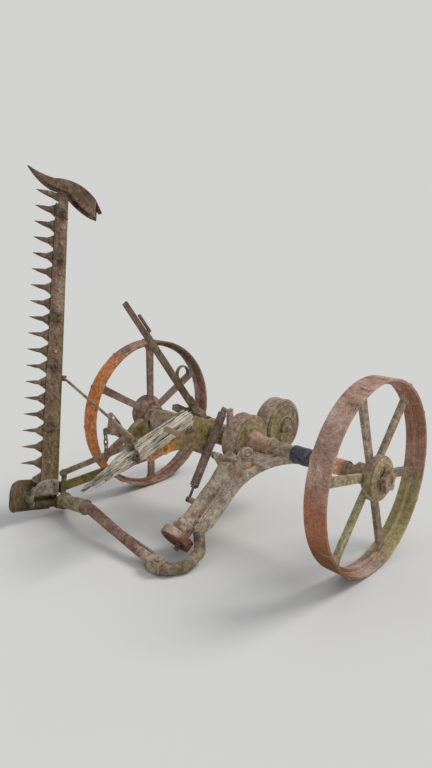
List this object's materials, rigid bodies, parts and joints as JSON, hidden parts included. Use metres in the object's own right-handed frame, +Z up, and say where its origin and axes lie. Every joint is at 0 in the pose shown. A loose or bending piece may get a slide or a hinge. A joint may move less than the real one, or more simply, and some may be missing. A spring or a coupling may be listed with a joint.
{
  "type": "horse-drawn sickle mower",
  "caption": "Old two-wheeled sickle mower of bare rusty iron, cutter bar folded upright at its side, standing on its wheels and drag hook.",
  "frame": {"origin": "on the ground under the middle of the machine's bounding box", "axes": "+X to the driver's right, towards the cutter bar; +Y forward; +Z up"},
  "size_m": [1.722, 1.217, 1.6342],
  "materials": {
    "near_wheel_rust": "weathered",
    "spoke_lichen": "weathered",
    "rod_iron": "weathered",
    "far_wheel_rust": "weathered",
    "spoke_rust": "weathered",
    "worn_steel": "weathered",
    "case_iron": "weathered",
    "crank_red": "weathered",
    "arm_iron": "weathered",
    "bar_steel": "weathered",
    "guard_iron": "weathered",
    "knife_steel": "weathered",
    "divider_rust": "weathered",
    "weathered_wood": "weathered",
    "bracket_orange": "weathered",
    "olive_bar": "weathered",
    "lever_iron": "weathered",
    "spring_steel": "weathered",
    "black_tape": "weathered"
  },
  "bodies": {
    "frame": {"left_axle_collar": "rod_iron", "right_axle_collar": "rod_iron", "axle": "worn_steel", "left_axle_tube": "rod_iron", "right_axle_housing": "rod_iron", "gear_case": "case_iron", "front_gear_cover": "case_iron", "rear_gear_cover": "case_iron", "frame_arm": "arm_iron", "drag_coupling": "rod_iron", "drag_hook": "arm_iron", "drag_bar": "rod_iron", "drag_sleeve": "rod_iron", "brace_rod": "rod_iron", "hinge_pin": "worn_steel", "drag_yoke": "rod_iron", "tongue_stub": "weathered_wood", "draft_bracket": "bracket_orange", "lift_shaft": "rod_iron", "lift_sector": "rod_iron", "lift_rocker": "rod_iron", "latch_bracket": "rod_iron", "lift_chain": "rod_iron", "lift_arm": "rod_iron", "lift_rod": "rod_iron", "push_bar": "olive_bar", "hand_lever": "lever_iron", "lever_quadrant": "rod_iron", "foot_pedal": "rod_iron", "pedal_pin": "rod_iron", "lift_spring": "spring_steel", "spring_plugs": "spring_steel", "clamp_rod": "rod_iron", "tape_wrap": "black_tape"},
    "left_wheel": {"left_wheel_rim": "near_wheel_rust", "left_wheel_spokes": "spoke_lichen", "left_hub_cap": "spoke_lichen"},
    "right_wheel": {"right_wheel_rim": "far_wheel_rust", "right_wheel_spokes": "spoke_rust", "right_hub_cap": "spoke_rust"},
    "crank": {"crank_wheel": "crank_red", "drive_shaft": "worn_steel", "crank_pin": "worn_steel"},
    "cutter_bar": {"finger_bar": "bar_steel", "guards": "guard_iron", "knife_clips": "guard_iron", "inner_shoe": "rod_iron", "shoe_arch": "rod_iron", "outer_shoe": "divider_rust", "hold_up_rod": "rod_iron"},
    "knife": {"knife_back": "knife_steel", "knife_sections": "knife_steel"}
  },
  "joints": [
    {"name": "left_wheel_spin", "type": "hinge", "parent": "frame", "child": "left_wheel", "pos_m": [-0.78001, -0.21453, 0.394], "axis": [1, 0, 0], "continuous": true},
    {"name": "right_wheel_spin", "type": "hinge", "parent": "frame", "child": "right_wheel", "pos_m": [0.53599, -0.21453, 0.394], "axis": [1, 0, 0], "continuous": true},
    {"name": "crank_spin", "type": "hinge", "parent": "frame", "child": "crank", "pos_m": [-0.15101, 0.23682, 0.07796], "axis": [0, 0.8192, -0.5736], "continuous": true},
    {"name": "bar_fold", "type": "hinge", "parent": "frame", "child": "cutter_bar", "pos_m": [0.57799, 0.41247, 0.063], "axis": [0, 0.9728, 0.2317], "range_deg": [0, 78]},
    {"name": "knife_slide", "type": "slide", "parent": "cutter_bar", "child": "knife", "axis": [0.1616, -0.2287, 0.96], "range_m": [0, 0.0762]}
  ]
}
